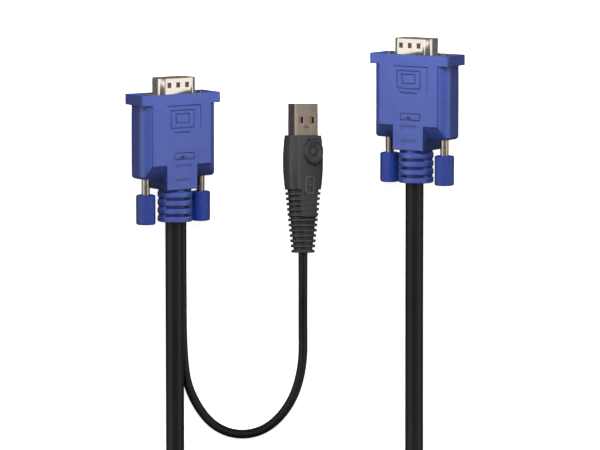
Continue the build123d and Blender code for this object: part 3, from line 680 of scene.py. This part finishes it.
def make_screw(side, hand):
    """Turned thumbscrew with a rolled thread at its tip."""
    shape = bmesh.new()
    thread_low = THREAD_TIP - THREAD_LONG
    profile = (
        (SCREW_RADIUS, KNOB_END + KNOB_FLOOR),
        (SCREW_RADIUS, CLIP_Z - CLIP_GAP),
        (CLIP_GROOVE, CLIP_Z - CLIP_GAP),
        (CLIP_GROOVE, CLIP_Z + CLIP_THICK + CLIP_GAP),
        (SCREW_RADIUS, CLIP_Z + CLIP_THICK + CLIP_GAP),
        (SCREW_RADIUS, SHOULDER_Z - CHAMFER),
        (SCREW_RADIUS - CHAMFER, SHOULDER_Z),
        (NECK_RADIUS, SHOULDER_Z),
        (NECK_RADIUS, thread_low),
        (THREAD_ROOT, thread_low + CHAMFER),
        (THREAD_ROOT, THREAD_TIP - CHAMFER),
        (THREAD_ROOT - CHAMFER, THREAD_TIP),
    )
    lathe(shape, profile, SCREW_SEGMENTS)
    add_thread(shape)
    name = f"{side}_{hand}_screw"
    screw = mesh_piece(f"{name}_threaded", shape, screw_place(side, hand))
    smooth_by_angle(screw)
    return settle(screw, f"{side}_{hand}_thumbscrew", "screw_steel", FINISHES["screw_steel"], name)


def make_knob(side, hand):
    """Finely fluted knob with rounded ends, a shallow dish in its foot and a hole for the screw."""
    shape = bmesh.new()
    body = KNOB_RADIUS - KNOB_CHAMFER
    shoulder = body + KNOB_CHAMFER * KNOB_ROUND
    shoulder_in = KNOB_CHAMFER * (1 - KNOB_ROUND)
    profile = (
        (KNOB_RADIUS * KNOB_DISH_MIDDLE, KNOB_END + KNOB_DISH),
        (body - KNOB_DISH_EDGE, KNOB_END + KNOB_DISH),
        (body - KNOB_FOOT_EDGE, KNOB_END),
        (body, KNOB_END),
        (shoulder, KNOB_END + shoulder_in),
        (KNOB_RADIUS, KNOB_END + KNOB_CHAMFER),
        (KNOB_RADIUS, KNOB_TOP - KNOB_CHAMFER),
        (shoulder, KNOB_TOP - shoulder_in),
        (body, KNOB_TOP),
        (SCREW_RADIUS + HAIR, KNOB_TOP),
        (SCREW_RADIUS + HAIR, KNOB_END + KNOB_FLOOR),
    )
    lathe(shape, profile, KNOB_FLUTES * POINTS_PER_FLUTE)
    rim = [vert for vert in shape.verts if vert.co.xy.length > KNOB_RADIUS - HAIR]
    for vert in rim:
        wave = 0.5 + 0.5 * cos(KNOB_FLUTES * vert.co.xy.angle_signed(Vector((1, 0))))
        share = 1 - FLUTE_DEEP * wave / KNOB_RADIUS
        bmesh.ops.scale(shape, vec=(share, share, 1), verts=[vert])
    name = f"{side}_{hand}_knob"
    knob = mesh_piece(f"{name}_fluted", shape, screw_place(side, hand))
    smooth_by_angle(knob)
    return settle(knob, f"{side}_{hand}_thumbscrew", "knob_plastic", FINISHES["knob_plastic"], name)


def finish_video_plug(side):
    for name in ("eyelets", "insulator", "contact_pins"):
        finished_copy(f"{side}_{name}")
    place = VIDEO_PLACES[side]
    tint(finished_copy(f"{side}_front_shell"), place, in_dimple, FINISHES["dimple_shadow"])
    hood = finished_copy(f"{side}_hood")
    # Floors of the recessed marks get a darker blue: painted shade in the grooves.
    tint(hood, place, in_cut(MARK_DEPTH), FINISHES["blue_groove_painted_shade"])
    # Floor of the gate pocket is painted black vinyl, as painted shade in the recess.
    tint(hood, place, in_cut(GATE_DEPTH), FINISHES["black_vinyl"])
    for hand in HANDS:
        make_screw(side, hand)
        make_knob(side, hand)


# ---- USB plug ----
SYMBOL_AT = (-0.4, -19.2)
SYMBOL_SIZE = (4.6, 7.0)
SYMBOL_LINE = 0.6
SYMBOL_ROUND = 0.24
SYMBOL_CORNER_STEPS = 5
SYMBOL_BAR = 0.4
SYMBOL_LOW = 3.2
SYMBOL_HIGH = 4.4
WINDOW_X = 2.85
WINDOW_Z = 5.9
WINDOW_WIDE = 1.9
SPRING_SIZE = (0.8, 0.14, 2.0)
SPRING_TURN = 12.0
SPRING_IN = 0.45
SPRING_SUNK = 0.12
SHELL_FRONT = 2.25
DENT_Z = 2.5
DENT_SIZE = (0.6, 0.22)
DENT_SUNK = 0.1
BOSS_AT = (1.5, -6.3)
BOSS_FRONT = 4.77
BOSS_RING = (4.1, 0.65)
BOSS_RING_STEPS = 48
BOSS_RING_SEGMENTS = 12
BOSS_RING_SUNK = 0.1
BOSS_BUTTON = (1.7, 0.7)
BOSS_BUTTON_SUNK = 0.5


def rounded_frame(width, height, line):
    """Flat outline of a rectangle with rounded corners."""
    shape = rectangle(width, height)
    round_corners(shape, min(width, height) * SYMBOL_ROUND, SYMBOL_CORNER_STEPS)
    border = bmesh.ops.inset_region(
        shape, faces=shape.faces, thickness=line, use_even_offset=True, use_boundary=True)["faces"]
    middle = [face for face in shape.faces if face not in border]
    bmesh.ops.delete(shape, geom=middle, context="FACES")
    return shape


def stand_up(shape, rise):
    """Gives a flat shape a thickness."""
    grown = bmesh.ops.extrude_face_region(shape, geom=list(shape.faces))["geom"]
    top = [item for item in grown if isinstance(item, bmesh.types.BMVert)]
    bmesh.ops.translate(shape, vec=(0, 0, rise), verts=top)
    bmesh.ops.recalc_face_normals(shape, faces=shape.faces)


def make_symbol():
    """Plain raised mark on the USB hood: a rounded outline round a short bar."""
    width, height = SYMBOL_SIZE
    outline = rounded_frame(width, height, SYMBOL_LINE)
    bar = rectangle(width * SYMBOL_BAR, SYMBOL_LINE)
    face_front = Matrix.Rotation(radians(90), 4, "X")
    place = USB_PLACE @ Matrix.Translation((SYMBOL_AT[0], -SYMBOL_LOW, SYMBOL_AT[1])) @ face_front
    for name, shape in (("usb_mark_outline", outline), ("usb_mark_bar", bar)):
        stand_up(shape, SYMBOL_HIGH - SYMBOL_LOW)
        mark = mesh_piece(name, shape, place)
        smooth_by_angle(mark)
        # The symbol's lighter grey is a painted highlight; its lower roughness is real gloss.
        settle(mark, "root", "black_vinyl", FINISHES["painted_highlight_vinyl"])


def front_piece(name, shape, x, depth, z, slot):
    """Small piece of the USB plug's front, drawn round its own centre and set forwards by a depth."""
    place = USB_PLACE @ Matrix.Translation((x, -depth, z))
    piece = mesh_piece(name, shape, place)
    smooth_by_angle(piece)
    return settle(piece, "root", slot, FINISHES[slot])


def flat_dome(radius, height):
    """Low dome that bulges forwards, with its back sunk in what it sits on."""
    shape = bmesh.new()
    bmesh.ops.create_uvsphere(shape, u_segments=32, v_segments=16, radius=radius)
    bmesh.ops.scale(shape, vec=(1, height / radius, 1), verts=shape.verts)
    return shape


def make_boss():
    """Rolled rim of the round boss and the button in its middle."""
    major, minor = BOSS_RING
    shape = bmesh.new()
    verts = bmesh.ops.create_circle(shape, segments=BOSS_RING_SEGMENTS, radius=minor)["verts"]
    bmesh.ops.translate(shape, vec=(major, 0, 0), verts=verts)
    bmesh.ops.spin(shape, geom=shape.verts[:] + shape.edges[:], cent=(0, 0, 0), axis=(0, 1, 0),
                   angle=FULL_TURN, steps=BOSS_RING_STEPS, use_merge=True, use_duplicate=False)
    bmesh.ops.recalc_face_normals(shape, faces=shape.faces)
    x, z = BOSS_AT
    front_piece("usb_boss_ring", shape, x, BOSS_FRONT - BOSS_RING_SUNK, z, "black_vinyl")
    button = flat_dome(*BOSS_BUTTON)
    front_piece("usb_boss_button", button, x, BOSS_FRONT - BOSS_BUTTON_SUNK, z, "black_vinyl")


def make_window_springs():
    """Edge of the spring plate that shows in each window, and the dent below them."""
    for index, window in enumerate((-WINDOW_X, WINDOW_X)):
        shape = bmesh.new()
        bmesh.ops.create_cube(shape, size=1.0)
        bmesh.ops.scale(shape, vec=SPRING_SIZE, verts=shape.verts)
        bmesh.ops.rotate(shape, matrix=Matrix.Rotation(radians(SPRING_TURN), 3, "Z"), verts=shape.verts)
        x = window - WINDOW_WIDE / 2 + SPRING_IN
        front_piece(f"usb_spring_{index + 1}", shape, x, SHELL_FRONT - SPRING_SUNK, WINDOW_Z, "usb_steel")
    front_piece("usb_dent", flat_dome(*DENT_SIZE), 0.0, SHELL_FRONT - DENT_SUNK, DENT_Z, "usb_steel")


def finish_usb_plug():
    for name in ("usb_shell", "usb_hood", "usb_tongue", "usb_contacts"):
        finished_copy(name)
    make_symbol()
    make_boss()
    make_window_springs()


# ---- tie round the coil ----
TIE_THICK = 0.85
TIE_ANGLE = 262.0
TIE_WIDE_DEG = 15.0
TIE_STEPS = 12
TIE_CORNER_STEPS = 6
COIL_CORNER = 3.4


def make_tie():
    """Woven strap round one side of the coil."""
    radius = CABLE_DIAMETER / 2
    wide = COIL_OUTER_TURN - COIL_INNER_TURN + 2 * radius
    tall = 2 * CABLE_DIAMETER
    shape = rectangle(wide + TIE_THICK, tall + TIE_THICK)
    round_corners(shape, COIL_CORNER + TIE_THICK / 2, TIE_CORNER_STEPS)
    bmesh.ops.delete(shape, geom=shape.faces, context="FACES_ONLY")
    stand = Matrix.Rotation(radians(90), 4, "X")
    middle = Matrix.Translation(((COIL_OUTER_TURN + COIL_INNER_TURN) / 2, 0, COIL_LOW - radius + tall / 2))
    bmesh.ops.transform(shape, matrix=middle @ stand, verts=shape.verts)
    bmesh.ops.rotate(shape, matrix=Matrix.Rotation(radians(TIE_ANGLE), 3, "Z"), verts=shape.verts)
    bmesh.ops.spin(shape, geom=shape.verts[:] + shape.edges[:], cent=(0, 0, 0), axis=(0, 0, 1),
                   angle=radians(TIE_WIDE_DEG), steps=TIE_STEPS, use_duplicate=False)
    bmesh.ops.recalc_face_normals(shape, faces=shape.faces)
    place = Matrix.Translation((COIL_AT[0] * MM, COIL_AT[1] * MM, 0)) @ Matrix.Scale(MM, 4)
    tie = mesh_piece("coil_strap", shape, place)
    tie.data.shade_smooth()
    wall = tie.modifiers.new("thickness", "SOLIDIFY")
    wall.thickness = TIE_THICK * MM
    wall.offset = 0.0
    return settle(tie, "root", "tie_fabric", FINISHES["tie_fabric"], "coil_tie")


# ---- assembly ----
for node, thing in frame["nodes"].items():
    thing.data.materials.clear()
    thing.data.materials.append(FINISHES.get(SLOTS[node], FINISHES["black_vinyl"]))
for side in SIDES:
    finish_video_plug(side)
finish_usb_plug()
make_tie()
